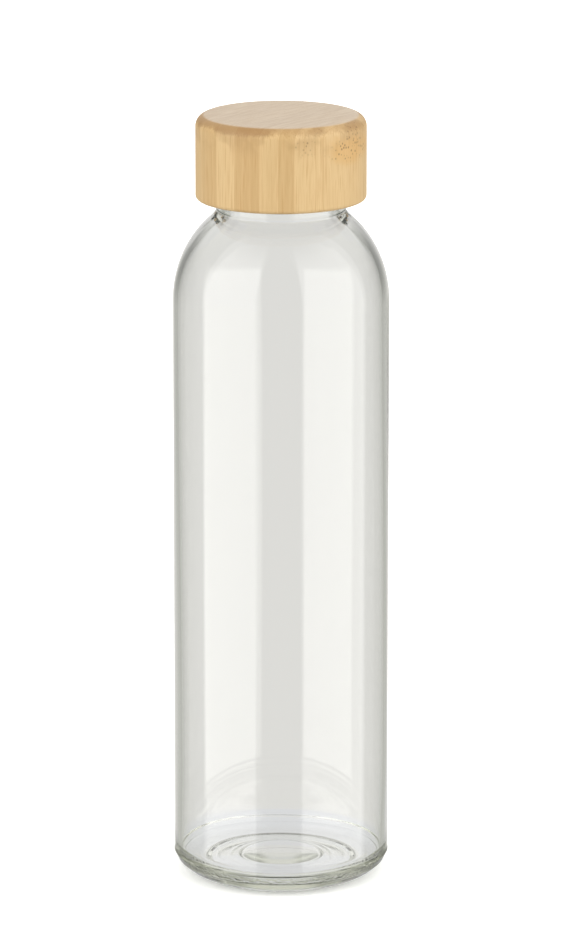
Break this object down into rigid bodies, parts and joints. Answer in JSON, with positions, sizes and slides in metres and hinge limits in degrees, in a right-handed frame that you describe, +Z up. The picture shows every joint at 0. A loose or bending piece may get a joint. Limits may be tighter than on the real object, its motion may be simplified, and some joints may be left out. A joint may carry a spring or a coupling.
{
  "type": "glass water bottle",
  "caption": "Clear straight-sided glass bottle with a round shoulder and a turned bamboo screw lid, lined with a threaded plastic insert and a seal ring.",
  "frame": {"origin": "centre of the foot ring that the bottle stands on", "axes": "+Z up along the bottle's axis; X and Y are free, because the bottle is round but for its thread"},
  "size_m": [0.065, 0.065, 0.2345],
  "materials": {
    "glass": "clear soda-lime glass, smooth",
    "bamboo": "turned laminated bamboo, thin satin oil",
    "liner": "moulded polypropylene, semi-matte",
    "seal": "moulded silicone, matte"
  },
  "bodies": {
    "bottle": {"glass_bottle": "glass"},
    "seal": {"seal_ring": "seal"},
    "lid": {"bamboo_cap": "bamboo", "thread_liner": "liner"}
  },
  "joints": [
    {"name": "lid_rise", "type": "slide", "parent": "bottle", "child": "seal", "axis": [0, 0, 1], "range_m": [0, 0.0252]},
    {"name": "lid_turn", "type": "hinge", "parent": "seal", "child": "lid", "pos_m": [0, 0, 0.209], "axis": [0, 0, 1], "range_deg": [0, 2162]}
  ],
  "couplings": [
    {"joint": "lid_turn", "follows": "lid_rise", "rad_per_m": 1496}
  ]
}
